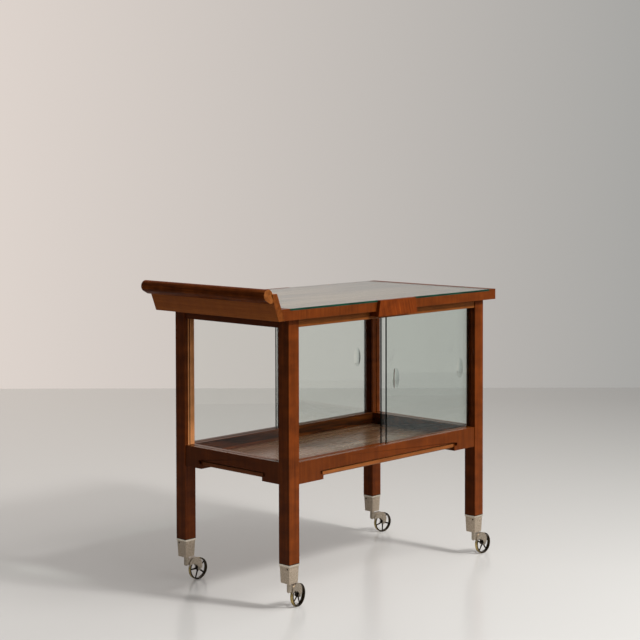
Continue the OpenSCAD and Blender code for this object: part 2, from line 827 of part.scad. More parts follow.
module fork_front_left() { color("#a49382") caster(-1, -1, swivel_front_left) fork(); }
module fork_front_right() { color("#a49382") caster(1, -1, swivel_front_right) fork(); }
module fork_back_left() { color("#a49382") caster(-1, 1, swivel_back_left) fork(); }
module fork_back_right() { color("#a49382") caster(1, 1, swivel_back_right) fork(); }
module king_pin_front_left() { color("#8a8278") caster(-1, -1, swivel_front_left) king_pin(); }
module king_pin_front_right() { color("#8a8278") caster(1, -1, swivel_front_right) king_pin(); }
module king_pin_back_left() { color("#8a8278") caster(-1, 1, swivel_back_left) king_pin(); }
module king_pin_back_right() { color("#8a8278") caster(1, 1, swivel_back_right) king_pin(); }
module axle_front_left() { color("#9c9080") caster(-1, -1, swivel_front_left) axle(); }
module axle_front_right() { color("#9c9080") caster(1, -1, swivel_front_right) axle(); }
module axle_back_left() { color("#9c9080") caster(-1, 1, swivel_back_left) axle(); }
module axle_back_right() { color("#9c9080") caster(1, 1, swivel_back_right) axle(); }
module rim_front_left() { color("#8f7a48") caster(-1, -1, swivel_front_left) rim(); }
module rim_front_right() { color("#8f7a48") caster(1, -1, swivel_front_right) rim(); }
module rim_back_left() { color("#8f7a48") caster(-1, 1, swivel_back_left) rim(); }
module rim_back_right() { color("#8f7a48") caster(1, 1, swivel_back_right) rim(); }
module spokes_front_left() { color("#8a8278") caster(-1, -1, swivel_front_left) spider(18); }
module spokes_front_right() { color("#8a8278") caster(1, -1, swivel_front_right) spider(54); }
module spokes_back_left() { color("#8a8278") caster(-1, 1, swivel_back_left) spider(30); }
module spokes_back_right() { color("#8a8278") caster(1, 1, swivel_back_right) spider(20); }

leg_front_left();
leg_front_right();
leg_back_left();
leg_back_right();
ferrule_front_left();
ferrule_front_right();
ferrule_back_left();
ferrule_back_right();
tray_rail_front();
tray_rail_back();
tray_rail_left();
tray_rail_right();
tray_panel();
upper_rail_front();
upper_rail_back();
upper_rail_left();
upper_rail_right();
top_board();
lipping_front();
lipping_back();
lipping_right();
end_strip_left();
end_strip_right();
top_glass();
sloping_board();
push_rod();
block_front();
block_back();
end_pane_left();
end_pane_right();
door_front_left();
door_front_right();
door_back_left();
door_back_right();
fork_front_left();
fork_front_right();
fork_back_left();
fork_back_right();
king_pin_front_left();
king_pin_front_right();
king_pin_back_left();
king_pin_back_right();
axle_front_left();
axle_front_right();
axle_back_left();
axle_back_right();
rim_front_left();
rim_front_right();
rim_back_left();
rim_back_right();
spokes_front_left();
spokes_front_right();
spokes_back_left();
spokes_back_right();
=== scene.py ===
"""Bar cart: polished wood, glass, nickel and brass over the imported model, with its light and camera."""

import math

import bmesh
import bpy
from mathutils import Euler, Matrix, Vector


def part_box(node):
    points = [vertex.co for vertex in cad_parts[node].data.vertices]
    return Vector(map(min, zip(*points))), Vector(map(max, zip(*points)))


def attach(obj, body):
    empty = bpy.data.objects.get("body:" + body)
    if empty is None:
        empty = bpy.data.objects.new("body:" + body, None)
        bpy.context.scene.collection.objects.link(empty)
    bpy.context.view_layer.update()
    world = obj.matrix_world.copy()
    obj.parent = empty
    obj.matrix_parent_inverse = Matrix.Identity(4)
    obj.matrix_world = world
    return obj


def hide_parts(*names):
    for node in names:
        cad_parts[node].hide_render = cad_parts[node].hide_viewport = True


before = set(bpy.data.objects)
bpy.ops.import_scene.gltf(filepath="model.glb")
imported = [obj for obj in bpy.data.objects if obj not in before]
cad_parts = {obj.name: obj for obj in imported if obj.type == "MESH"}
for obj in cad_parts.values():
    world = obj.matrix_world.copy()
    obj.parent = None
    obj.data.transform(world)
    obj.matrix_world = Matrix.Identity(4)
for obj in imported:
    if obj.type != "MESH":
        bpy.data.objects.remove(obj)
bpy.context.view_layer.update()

MM = 0.001
PLACES = ("front_left", "front_right", "back_left", "back_right")


# ---------------------------------------------------------------- camera

VIEW_AZIMUTH = math.radians(-46.405)
VIEW_PITCH = math.radians(1.931)
VIEW_ROLL = math.radians(0.116)
FOCAL_PX = 1558.2
FRAME_PX = 640
SENSOR_MM = 36
AXIS_COLUMN_PX, AXIS_ROW_PX = 320.5, 215.05  # the point of the image that the lens looks at

camera = bpy.data.objects.new("camera", bpy.data.cameras.new("camera"))
bpy.context.scene.collection.objects.link(camera)
bpy.context.scene.camera = camera
camera.location = (-3.0154, -2.8458, 1.0918)
camera.rotation_euler = Euler((math.pi / 2 - VIEW_PITCH, VIEW_ROLL, VIEW_AZIMUTH), "XYZ")
camera.data.sensor_width = SENSOR_MM
camera.data.lens = SENSOR_MM * FOCAL_PX / FRAME_PX
camera.data.shift_x = (FRAME_PX / 2 - AXIS_COLUMN_PX) / FRAME_PX
camera.data.shift_y = (AXIS_ROW_PX - FRAME_PX / 2) / FRAME_PX
camera.data.clip_start, camera.data.clip_end = 0.05, 60


# ---------------------------------------------------------------- tools


def linear(code):
    """An sRGB hex colour as linear RGBA."""
    parts = [int(code[i : i + 2], 16) / 255 for i in (1, 3, 5)]
    return [c / 12.92 if c <= 0.04045 else ((c + 0.055) / 1.055) ** 2.4 for c in parts] + [1]


def add(tree, kind, inputs=None, **settings):
    """Adds a node with its settings, values and links. A node given as a value stands for its first output."""
    n = tree.nodes.new(kind)
    for key, value in settings.items():
        setattr(n, key, value)
    for key, value in (inputs or {}).items():
        if isinstance(value, bpy.types.Node):
            value = value.outputs[0]
        if isinstance(value, bpy.types.NodeSocket):
            tree.links.new(value, n.inputs[key])
        else:
            n.inputs[key].default_value = value
    return n


def material(name):
    """A new material and its empty node tree."""
    m = bpy.data.materials.new(name)
    m.use_nodes = True
    m.node_tree.nodes.clear()
    return m, m.node_tree


def grain(tree, sizes_mm, detail=2, rough=0.5, distort=0, turn=(0, 0, 0), shift=(0, 0, 0)):
    """A cloudy pattern on the piece's own coordinates, its marks as long along x, y and z as the sizes say."""
    place = add(tree, "ShaderNodeTexCoord").outputs["Object"]
    if any(turn):
        place = add(tree, "ShaderNodeMapping", {"Vector": place, "Rotation": turn})
    place = add(
        tree, "ShaderNodeMapping",
        {"Vector": place, "Location": shift, "Scale": [1 / (size * MM) for size in sizes_mm]},
    )
    return add(
        tree, "ShaderNodeTexNoise",
        {"Vector": place, "Scale": 1.0, "Detail": detail, "Roughness": rough, "Distortion": distort},
    )


# ---------------------------------------------------------------- wood

# Sizes along the grain and across it, in mm. At this distance one pixel is 2.7 mm, so the finest
# lines are drawn at 2.5 to 3 mm, where the real pores are a tenth of that.
BAND_ALONG, BAND_ACROSS = 380, 9
STREAK_ALONG, STREAK_ACROSS = 45, 2.2
PORE_ALONG, PORE_ACROSS = 9, 0.5
FIGURE_ALONG, FIGURE_ACROSS = 26, 60
STREAK_SHARE = 0.4  # how much of the colour's pattern comes from the streaks, and the rest from the bands
FIGURE_SWING = 0.35  # how far a full figure lifts and lowers the colour
WOOD_SHEEN = 0.1  # an oil finish that has soaked in gives less shine than a film of varnish
WOOD_IOR = 1.5
PORE_DEPTH, GRAIN_DEPTH = 0.04 * MM, 0.05 * MM


def along(axis, long_mm, cross_mm):
    """Pattern sizes with the long one on the grain's axis."""
    return [long_mm if axis == i else cross_mm for i in range(3)]


def wood_tones(tree, pattern, centre, reach, tones, level):
    """Dark, middle and light wood where the pattern is low, even and high, made paler or deeper by a level."""
    ramp = add(tree, "ShaderNodeValToRGB", {0: pattern})
    stops = ramp.color_ramp.elements
    stops[0].position, stops[0].color = centre - reach, linear(tones[0])
    stops[1].position, stops[1].color = centre + reach, linear(tones[2])
    stops.new(centre).color = linear(tones[1])
    grey = add(tree, "ShaderNodeCombineColor", {0: level, 1: level, 2: level})
    return add(
        tree, "ShaderNodeMix", {0: 1.0, 6: ramp, 7: grey}, data_type="RGBA", blend_type="MULTIPLY"
    ).outputs[2]


def solid_wood(
    name, axis, tones, rough=0.38, turn=(0, 0, 0), shift=(0, 0, 0), figure=0.5, contrast=1.0, sheen=WOOD_SHEEN
):
    """Sliced wood under an oil finish: soft bands and fine streaks along the grain, a cloudy figure across it,
    open pores, and a polish that follows the streaks."""
    m, tree = material(name)
    bands = grain(tree, along(axis, BAND_ALONG, BAND_ACROSS), 3, 0.55, 0.3, turn, shift)
    streaks = grain(tree, along(axis, STREAK_ALONG, STREAK_ACROSS), 2, 0.6, 0, turn, shift)
    cloud = grain(tree, along(axis, FIGURE_ALONG, FIGURE_ACROSS), 2, 0.45, 0, turn, shift)
    pores = grain(tree, along(axis, PORE_ALONG, PORE_ACROSS), 1, 0.5, 0, turn, shift)
    fine = add(tree, "ShaderNodeMath", {0: streaks, 1: STREAK_SHARE}, operation="MULTIPLY")
    mixed = add(tree, "ShaderNodeMath", {0: bands, 1: 1 - STREAK_SHARE, 2: fine}, operation="MULTIPLY_ADD")
    swing = FIGURE_SWING * figure
    ripple = add(
        tree, "ShaderNodeMapRange",
        {"Value": cloud, "From Min": 0.3, "From Max": 0.7, "To Min": 1 - swing, "To Max": 1 + swing},
    )
    pitted = add(
        tree, "ShaderNodeMapRange",
        {"Value": pores, "From Min": 0.28, "From Max": 0.4, "To Min": 0.82, "To Max": 1.0},
    )
    level = add(tree, "ShaderNodeMath", {0: ripple, 1: pitted}, operation="MULTIPLY")
    colour = wood_tones(tree, mixed, 0.5, 0.16 / contrast, tones, level)
    height = add(tree, "ShaderNodeMapRange", {"Value": pores, "From Min": 0.28, "From Max": 0.4})
    bump = add(tree, "ShaderNodeBump", {"Height": height, "Strength": 0.35, "Distance": PORE_DEPTH})
    uneven = add(
        tree, "ShaderNodeMapRange",
        {"Value": streaks, "From Min": 0.3, "From Max": 0.7, "To Min": rough - 0.05, "To Max": rough + 0.06},
    )
    polish = add(
        tree, "ShaderNodeBsdfPrincipled",
        {"Base Color": colour, "Roughness": uneven, "Normal": bump, "IOR": WOOD_IOR, "Specular IOR Level": sheen},
    )
    add(tree, "ShaderNodeOutputMaterial", {0: polish})
    return m


# Mahogany legs, quartered, with the grain upright: fine lines with a soft ripple of light across them.
leg_wood = solid_wood("mahogany_leg", 2, ("#532407", "#672e09", "#7a3a10"), figure=0.7, contrast=0.8)
# Painted shade: the foot of each leg is painted nearly black where it meets the metal, a thin line over the ferrule
# that stands in for the shadow in the joint.
foot_painted_shade = solid_wood("foot_painted_shade_line", 2, ("#0d0502", "#150903", "#1e0d05"), rough=0.5, figure=0.2)
# Painted light: inside the case the left legs' mahogany is painted pale, standing in for the light that reaches their
# inner faces there.
leg_painted_light_wood = solid_wood("mahogany_painted_light_inside", 2, ("#cc7e48", "#e4975e", "#f0ab76"), figure=0.4, contrast=0.8)
# Crossbanded mahogany on rails and lippings: short upright grain, so fine faint upright streaks.
band_wood = solid_wood("mahogany_crossband", 2, ("#512307", "#622c09", "#743910"), figure=0.5, contrast=0.6)
# The bracket ends of the rails are solid pieces, redder and plainer than the crossbanding.
bracket_wood = solid_wood(
    "mahogany_bracket", 2, ("#502407", "#612c0a", "#713710"), shift=(3, 7, 1), figure=0.3, contrast=0.7
)
# The rails' top edges are polished by sliding glass and dusting.
rail_top_wood = solid_wood("mahogany_rail_top", 2, ("#5a2b0f", "#6e3713", "#80441b"), rough=0.22, figure=0.3)
# The tray panel's edge, an open-grained lipping of a brighter piece with its grain along the edge.
edge_wood_x = solid_wood("mahogany_panel_edge_long", 0, ("#79441f", "#8d5227", "#a06030"), figure=0.3)
edge_wood_y = solid_wood("mahogany_panel_edge_short", 1, ("#653519", "#7a421f", "#8d5028"), figure=0.3)
# The upper rails, under the top, have faded less: a yellower brown on the long ones, a deep one on the short ones.
rail_wood_x = solid_wood("mahogany_upper_rail_long", 0, ("#673513", "#80481d", "#965b28"), figure=0.3, contrast=0.7)
rail_wood_y = solid_wood("mahogany_upper_rail_short", 1, ("#4e2209", "#602c0d", "#723814"), figure=0.3, contrast=0.7)
# Centre blocks: a brighter piece, its grain a little off upright.
block_wood = solid_wood(
    "mahogany_block", 2, ("#592406", "#6c2e08", "#803c10"), turn=(0, math.radians(14), 0), figure=0.5, contrast=0.8
)
# Sloping board: even brown, with quiet grain along the board, and a deeper brown on its ends.
slope_wood = solid_wood(
    "mahogany_sloping_board", 1, ("#984d18", "#ac5d21", "#bc6c2d"), rough=0.42, figure=0.18, contrast=0.7
)
slope_end_wood = solid_wood(
    "mahogany_sloping_board_end", 1, ("#572a0b", "#6d370f", "#7f4316"), rough=0.42, figure=0.3
)
# Push rod: dulled by hands, so it has the least shine.
rod_wood = solid_wood(
    "mahogany_push_rod", 1, ("#4d2209", "#6d3310", "#8a471a"), rough=0.36, figure=0.6, sheen=0.02
)
# End grain of the rod: a lighter, matt cut face.
rod_end_wood = solid_wood("mahogany_end_grain", 1, ("#5d3111", "#7c4519", "#935728"), rough=0.5, figure=0.4)

VENEER_PORES = (9, 0.6, 5)
LINE_SHARE = 0.32  # how much of the figure comes from its fine lines, and the rest from its broad ones
DARKEST_AT_X, PALEST_AT_X = 0.4, -0.35


def veneer(name, along_mm, across_mm, up_mm, tones, rough, sheen, sharp=0.1, right_end_level=1.0):
    """Sliced rosewood along the cart: broad dark figure lines with fine ones between, under a worn polish."""
    m, tree = material(name)
    broad = grain(tree, (along_mm, across_mm, up_mm), 3, 0.55, 0.9, shift=(2, 5, 0))
    fine = grain(tree, (along_mm / 3, across_mm / 5, up_mm / 3), 2, 0.6, 0.4)
    pores = grain(tree, VENEER_PORES, 1)
    lines = add(tree, "ShaderNodeMath", {0: fine, 1: LINE_SHARE}, operation="MULTIPLY")
    mixed = add(tree, "ShaderNodeMath", {0: broad, 1: 1 - LINE_SHARE, 2: lines}, operation="MULTIPLY_ADD")
    # Paler towards the rod's end and darker towards the other end, by a level that changes along x
    where = add(tree, "ShaderNodeSeparateXYZ", {0: add(tree, "ShaderNodeTexCoord").outputs["Object"]})
    level = add(
        tree, "ShaderNodeMapRange",
        {"Value": where, "From Min": PALEST_AT_X, "From Max": DARKEST_AT_X, "To Min": 1.0, "To Max": right_end_level},
    )
    colour = wood_tones(tree, mixed, 0.49, sharp, tones, level)
    # The polish has sunk a little into the grain, so a reflection in it wavers
    bump = add(tree, "ShaderNodeBump", {"Height": fine, "Strength": 0.12, "Distance": GRAIN_DEPTH})
    worn = add(
        tree, "ShaderNodeMapRange",
        {"Value": mixed, "From Min": 0.4, "From Max": 0.6, "To Min": rough + 0.07, "To Max": rough - 0.05},
    )
    open_pores = add(
        tree, "ShaderNodeMapRange",
        {"Value": pores, "From Min": 0.3, "From Max": 0.7, "To Min": -0.02, "To Max": 0.03},
    )
    uneven = add(tree, "ShaderNodeMath", {0: worn, 1: open_pores}, operation="ADD")
    polish = add(
        tree, "ShaderNodeBsdfPrincipled",
        {"Base Color": colour, "Roughness": uneven, "Normal": bump, "IOR": WOOD_IOR, "Specular IOR Level": sheen},
    )
    add(tree, "ShaderNodeOutputMaterial", {0: polish})
    return m


# Rosewood under the top glass: nearly black lines on a pale brown that stands out at a flat angle.
top_veneer = veneer(
    "rosewood_top_veneer", 620, 42, 40, ("#180c06", "#6c4730", "#bd926f"), 0.36, 0.2, sharp=0.085, right_end_level=0.4
)
# The tray's floor is quieter, with a polish that mirrors what stands behind it. Its tones are painted paler and greyer
# than the rosewood's own: a painted reflection of the bright backdrop on top of the real mirroring.
tray_veneer_and_painted_reflection = veneer("rosewood_tray_veneer_painted_reflection", 620, 34, 40, ("#50301f", "#80573f", "#a27b63"), 0.25, 1.0, sharp=0.16)
# The rails' inner faces, cut with arched figure and nearly black lines.
lining_veneer = veneer("rosewood_rail_lining", 220, 30, 11, ("#1e0d05", "#431e09", "#613010"), 0.4, 0.1)


# ---------------------------------------------------------------- glass

GLASS_IOR = 1.52


def clear_glass(name, tint, lamp_tint, ior=GLASS_IOR):
    """Float glass. The eye sees through it with a faint green cast, and lamps shine through it."""
    m, tree = material(name)
    glass = add(
        tree, "ShaderNodeBsdfPrincipled",
        {"Base Color": linear(tint), "Roughness": 0.0, "IOR": ior, "Transmission Weight": 1.0},
    )
    lamps = add(tree, "ShaderNodeBsdfTransparent", {"Color": linear(lamp_tint)})
    path = add(tree, "ShaderNodeLightPath").outputs
    share = add(tree, "ShaderNodeMath", {0: path["Is Shadow Ray"], 1: path["Is Diffuse Ray"]}, operation="MAXIMUM")
    both = add(tree, "ShaderNodeMixShader", {0: share, 1: glass, 2: lamps})
    add(tree, "ShaderNodeOutputMaterial", {0: both})
    return m


# End panes and doors are nearly colourless: the case looks open, and only their edges and mirrorings show.
pane_glass = clear_glass("float_glass_pane", "#f8fbfa", "#f4f8f6")
door_glass = clear_glass("float_glass_door", "#f7fbf9", "#f0f6f4")
# The camera looks along the top sheet, so a lower IOR lets as much of the veneer through as the eye sees.
top_sheet_glass = clear_glass("float_glass_top", "#f0f7f4", "#f0f6f4", ior=1.15)


def glass_edge(name, dark, light, grain_mm):
    """A ground and polished glass edge: light that has run through the sheet comes out dark green."""
    m, tree = material(name)
    ground = grain(tree, grain_mm)
    share = add(tree, "ShaderNodeMapRange", {"Value": ground, "From Min": 0.35, "From Max": 0.65})
    shade = add(tree, "ShaderNodeMix", {0: share, 6: linear(dark), 7: linear(light)}, data_type="RGBA").outputs[2]
    uneven = add(
        tree, "ShaderNodeMapRange",
        {"Value": ground, "From Min": 0.3, "From Max": 0.7, "To Min": 0.26, "To Max": 0.36},
    )
    edge = add(
        tree, "ShaderNodeBsdfPrincipled",
        {"Base Color": shade, "Roughness": uneven, "IOR": GLASS_IOR, "Specular IOR Level": 0.15},
    )
    add(tree, "ShaderNodeOutputMaterial", {0: edge})
    return m


edge_glass = glass_edge("ground_glass_edge", "#020906", "#07140f", (1.5, 1.5, 1.5))
# The top sheet's edge catches light from above, so its green shows.
top_edge_glass = glass_edge("ground_glass_edge_top", "#03160f", "#0b4536", (60, 1.5, 1.5))
# The finger pulls are ground in and polished again: they bend what is behind them and blur it a little.
pull_glass, tree = material("ground_glass_pull")
grit = add(
    tree, "ShaderNodeMapRange",
    {"Value": grain(tree, (0.8, 0.8, 0.8)), "From Min": 0.3, "From Max": 0.7, "To Min": 0.02, "To Max": 0.07},
)
pull = add(
    tree, "ShaderNodeBsdfPrincipled",
    {"Base Color": linear("#e8efec"), "Roughness": grit, "IOR": GLASS_IOR, "Transmission Weight": 1.0},
)
add(tree, "ShaderNodeOutputMaterial", {0: pull})


# ---------------------------------------------------------------- metal

BRUSH_DEPTH = 0.03 * MM
SPOT_SHARE = 0.75  # how much of a metal's shade comes from its patches, and the rest from its brushing


def metal(name, dark, light, rough, brushed=(6, 6, 0.5), spots_mm=3.0):
    """Worn satin metal: fine brushing, and soft cloudy patches where the finish has dulled."""
    m, tree = material(name)
    brush = grain(tree, brushed, 2, 0.6)
    patches = grain(tree, (spots_mm,) * 3, 3, 0.6)
    brush_level = add(
        tree, "ShaderNodeMapRange",
        {"Value": brush, "From Min": 0.3, "From Max": 0.7, "To Max": 1 - SPOT_SHARE},
    )
    patch_level = add(
        tree, "ShaderNodeMapRange",
        {"Value": patches, "From Min": 0.35, "From Max": 0.65, "To Max": SPOT_SHARE},
    )
    share = add(tree, "ShaderNodeMath", {0: patch_level, 1: brush_level}, operation="ADD")
    colour = add(tree, "ShaderNodeMix", {0: share, 6: linear(dark), 7: linear(light)}, data_type="RGBA").outputs[2]
    bump = add(tree, "ShaderNodeBump", {"Height": brush, "Strength": 0.2, "Distance": BRUSH_DEPTH})
    uneven = add(
        tree, "ShaderNodeMapRange",
        {"Value": patches, "From Min": 0.3, "From Max": 0.7, "To Min": rough + 0.08, "To Max": rough - 0.05},
    )
    surface = add(
        tree, "ShaderNodeBsdfPrincipled",
        {"Base Color": colour, "Metallic": 1.0, "Roughness": uneven, "Normal": bump},
    )
    add(tree, "ShaderNodeOutputMaterial", {0: surface})
    return m


# Nickel plate on brass castings, gone warm and satin; the ferrules' lips are still bright.
ferrule_nickel = metal("satin_nickel_ferrule", "#b3a391", "#d9cab7", 0.62)
fork_nickel = metal("satin_nickel_fork", "#94887a", "#c4b7a5", 0.4, brushed=(4, 4, 4))
lip_nickel = metal("polished_nickel_lip", "#cbbfae", "#e6dccb", 0.24)
spoke_nickel = metal("tarnished_nickel_spokes", "#231d19", "#4a4038", 0.42, brushed=(4, 4, 4))
# Brass wheel rims: rolled bright on the tread, tarnished nearly black on the sides and inside.
rim_brass = metal("worn_brass_tread", "#8a7440", "#d8c083", 0.3, brushed=(3, 3, 3), spots_mm=5)
rim_dark = metal("tarnished_brass_rim", "#1d1711", "#4b3f2b", 0.36, brushed=(3, 3, 3), spots_mm=4)
# Bright steel pins.
pin_steel = metal("turned_steel_pin", "#7d766c", "#a8a197", 0.3, brushed=(2, 2, 2))
# Blued screws, nearly black.
screw_steel = metal("blued_steel_screw", "#1b1714", "#3a332d", 0.4, brushed=(1, 1, 1), spots_mm=1)
# Painted shade: the slot is nearly black, for the shade in its hollow.
slot_painted_shade = metal("screw_slot_painted_shade", "#050403", "#0d0b09", 0.6, brushed=(1, 1, 1), spots_mm=1)


# ---------------------------------------------------------------- dressing the CAD nodes

HARD_EDGE, EASED_EDGE, FLAT_WITHIN = math.radians(35), math.radians(30), math.radians(0.4)
JOINED_WITHIN = 0.004 * MM
FACING = 0.9  # a face looks along an axis when its normal has more than this on it
NEAR = 0.5 * MM  # a face lies at a height when it is closer than this


def dress(node, body, skins, bevel_mm=0.4, chooser=None, change=None):
    """The piece that stands for a CAD node: a copy of its mesh with the loose triangles joined into whole faces,
    changed where its form needs it, with its skins, its eased edges and its body."""
    name = node + "_finished"
    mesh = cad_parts[node].data.copy()
    mesh.name = name
    mesh.materials.clear()
    b = bmesh.new()
    b.from_mesh(mesh)
    bmesh.ops.remove_doubles(b, verts=b.verts, dist=JOINED_WITHIN)
    bmesh.ops.dissolve_limit(b, angle_limit=FLAT_WITHIN, verts=b.verts, edges=b.edges)
    if change:
        change(b)
    for skin in skins:
        mesh.materials.append(skin)
    for face in b.faces:
        face.smooth = True
        if chooser:
            face.material_index = chooser(face)
    for edge in b.edges:
        skins_meet = len({f.material_index for f in edge.link_faces}) > 1
        if skins_meet or len(edge.link_faces) == 2 and edge.calc_face_angle(0) > HARD_EDGE:
            edge.smooth = False
    b.to_mesh(mesh)
    b.free()
    piece = bpy.data.objects.new(name, mesh)
    bpy.context.scene.collection.objects.link(piece)
    if bevel_mm:
        mod = piece.modifiers.new("eased_edges", "BEVEL")
        mod.width = bevel_mm * MM
        mod.segments = 2
        mod.limit_method = "ANGLE"
        mod.angle_limit = EASED_EDGE
        mod.use_clamp_overlap = True
        mod.harden_normals = True
    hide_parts(node)
    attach(piece, body)


def cut_at(b, axis, places):
    """Cuts the copy's faces along planes across an axis, so that a skin can change there."""
    normal = Vector([1.0 if axis == i else 0.0 for i in range(3)])
    for place in places:
        everything = b.verts[:] + b.edges[:] + b.faces[:]
        bmesh.ops.bisect_plane(b, geom=everything, plane_co=normal * place, plane_no=normal)


# Legs: painted shade at the foot, and on the left ones painted light inside the case, from the end pane inwards
FOOT_LINE = 1.5 * MM
PALE_FROM = 11 * MM  # in from the leg's outer face
tray_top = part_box("tray_rail_front")[1].z
for place in PLACES:
    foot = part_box("ferrule_" + place)[1].z + FOOT_LINE
    low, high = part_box("leg_" + place)
    inward = 1 if "left" in place else -1
    pale_x = (low.x if inward > 0 else high.x) + inward * PALE_FROM
    case = (tray_top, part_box("upper_rail_" + place.split("_")[1])[0].z)
    toward_case = -1 if "back" in place else 1

    def leg_skin(face, foot=foot, pale_x=pale_x, case=case, left=inward > 0, toward_case=toward_case):
        # Skin 1, at the foot, is painted shade; skin 2, on the left legs' inner faces inside the case, is painted
        # light.
        c = face.calc_center_bounds()
        if c.z < foot:
            return 1
        inside = face.normal.y * toward_case > FACING and c.x > pale_x and case[0] < c.z < case[1]
        return 2 if left and inside else 0

    def cut_leg(b, foot=foot, pale_x=pale_x, case=case):
        cut_at(b, 2, [foot, *case])
        cut_at(b, 0, [pale_x])

    dress("leg_" + place, "cart", [leg_wood, foot_painted_shade, leg_painted_light_wood], chooser=leg_skin, change=cut_leg)

# Tray rails: a crossbanded length between two solid brackets, a polished top and a lining above the tray
BRACKET = (87.5 * MM, 60 * MM)  # on the long rails and on the short ones
LINING_HEIGHT = 32 * MM
for side, axis in (("front", 0), ("back", 0), ("left", 1), ("right", 1)):
    low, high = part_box("tray_rail_" + side)
    cuts = (low[axis] + BRACKET[axis], high[axis] - BRACKET[axis])
    inward = -1 if side in ("back", "right") else 1

    def rail_skin(face, axis=axis, cuts=cuts, top=high.z, inward=inward):
        c = face.calc_center_bounds()
        if face.normal.z > FACING and c.z > top - NEAR:
            return 2
        if face.normal[1 - axis] * inward > FACING and c.z > top - LINING_HEIGHT:
            return 3
        return 0 if cuts[0] < c[axis] < cuts[1] else 1

    dress(
        "tray_rail_" + side, "cart", [band_wood, bracket_wood, rail_top_wood, lining_veneer],
        chooser=rail_skin, change=lambda b, axis=axis, cuts=cuts: cut_at(b, axis, cuts),
    )

# Tray panel: veneered faces, lipped edges
GROOVE_BAND = 10 * MM  # the edge's groove lies within this of the panel's side
panel_low, panel_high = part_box("tray_panel")


def panel_skin(face):
    n, c = face.normal, face.calc_center_median()
    if n.z < -FACING or n.z > FACING and c.z > panel_high.z - NEAR:
        return 0
    if abs(n.z) > FACING:  # the groove's floor
        return 1 if min(c.y - panel_low.y, panel_high.y - c.y) < GROOVE_BAND else 2
    return 1 if abs(n.y) > abs(n.x) else 2


dress("tray_panel", "cart", [tray_veneer_and_painted_reflection, edge_wood_x, edge_wood_y], chooser=panel_skin)

for side, skin in (("front", rail_wood_x), ("back", rail_wood_x), ("left", rail_wood_y), ("right", rail_wood_y)):
    dress("upper_rail_" + side, "cart", [skin])

dress("top_board", "cart", [top_veneer], bevel_mm=0)
for node in ("lipping_front", "lipping_back", "lipping_right", "end_strip_left", "end_strip_right"):
    dress(node, "cart", [band_wood])
for side in ("front", "back"):
    dress("block_" + side, "cart", [block_wood], bevel_mm=0.6)

TOUCHING = 0.01 * MM


def whole_board(b):
    """The sloping board with its corner square again: the rod stands over that corner and hides it."""
    low = min(v.co.z for v in b.verts)
    high = max(v.co.z for v in b.verts)
    foot = [v.co.x for v in b.verts if v.co.z < low + TOUCHING]
    head = max(v.co.x for v in b.verts if v.co.z > high - TOUCHING)
    run = max(foot) - min(foot)
    ends = (min(v.co.y for v in b.verts), max(v.co.y for v in b.verts))
    bmesh.ops.delete(b, geom=b.verts[:], context="VERTS")
    outline = ((min(foot), low), (max(foot), low), (head, high), (head - run, high))
    rings = [[b.verts.new((x, y, z)) for x, z in outline] for y in ends]
    b.faces.new(rings[0])
    b.faces.new(rings[1][::-1])
    for i in range(4):
        b.faces.new((rings[0][i], rings[1][i], rings[1][(i + 1) % 4], rings[0][(i + 1) % 4]))
    bmesh.ops.recalc_face_normals(b, faces=b.faces[:])


def end_skin(face):
    return 1 if abs(face.normal.y) > FACING else 0


dress("sloping_board", "cart", [slope_wood, slope_end_wood], chooser=end_skin, change=whole_board)

ROD_R, LOBE_R, LOBE_IN, LOBE_BELOW = 14.75 * MM, 8.5 * MM, 9 * MM, 12 * MM
ROD_SIDES = 120


def round_rod(b):
    """The push rod as one smooth bar: a round and the smaller round against the board, with the hull of both."""
    low = [min(v.co[i] for v in b.verts) for i in range(3)]
    high = [max(v.co[i] for v in b.verts) for i in range(3)]
    bmesh.ops.delete(b, geom=b.verts[:], context="VERTS")
    main = Vector((low[0] + ROD_R, high[2] - ROD_R))
    lobe = main + Vector((LOBE_IN, -LOBE_BELOW))
    outline = []
    for i in range(ROD_SIDES):
        turn = i * 2 * math.pi / ROD_SIDES
        way = Vector((math.cos(turn), math.sin(turn)))
        outline.append(main + way * ROD_R if main.dot(way) + ROD_R > lobe.dot(way) + LOBE_R else lobe + way * LOBE_R)
    rings = [[b.verts.new((p.x, y, p.y)) for p in outline] for y in (low[1], high[1])]
    for i in range(ROD_SIDES):
        j = (i + 1) % ROD_SIDES
        b.faces.new((rings[0][i], rings[0][j], rings[1][j], rings[1][i]))
    b.faces.new(rings[0][::-1])
    b.faces.new(rings[1])
    bmesh.ops.recalc_face_normals(b, faces=b.faces[:])


dress("push_rod", "cart", [rod_wood, rod_end_wood], bevel_mm=1.0, chooser=end_skin, change=round_rod)


# ---------------------------------------------------------------- glass pieces: clear faces, dark edges, ground pulls

FELT = 0.15 * MM
SHEET_FACING, ON_SHEET = 0.99999, 0.02 * MM  # these tell a door's own faces from the hollows ground into them


def lift_underside(b):
    """The sheet rests on felt dots, a hair above the board, so the two faces don't merge."""
    low = min(v.co.z for v in b.verts)
    for v in b.verts:
        if v.co.z < low + NEAR:
            v.co.z += FELT


dress(
    "top_glass", "cart", [top_sheet_glass, top_edge_glass], bevel_mm=0.3, change=lift_underside,
    chooser=lambda face: 1 if abs(face.normal.z) < 0.3 else 0,
)
for side in ("left", "right"):
    dress(
        "end_pane_" + side, "cart", [pane_glass, edge_glass], bevel_mm=0.2,
        chooser=lambda face: 0 if abs(face.normal.x) > 0.7 else 1,
    )
for place in PLACES:
    low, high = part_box("door_" + place)

    def door_skin(face, low=low, high=high):
        n, c = face.normal, face.calc_center_median()
        if abs(n.y) < 0.5 and (abs(n.x) > FACING or abs(n.z) > FACING):
            return 1
        flat = abs(n.y) > SHEET_FACING and min(c.y - low.y, high.y - c.y) < ON_SHEET
        return 0 if flat else 2

    dress(
        "door_" + place, "door_" + place, [door_glass, edge_glass, pull_glass], bevel_mm=0,
        chooser=door_skin,
    )


# ---------------------------------------------------------------- casters


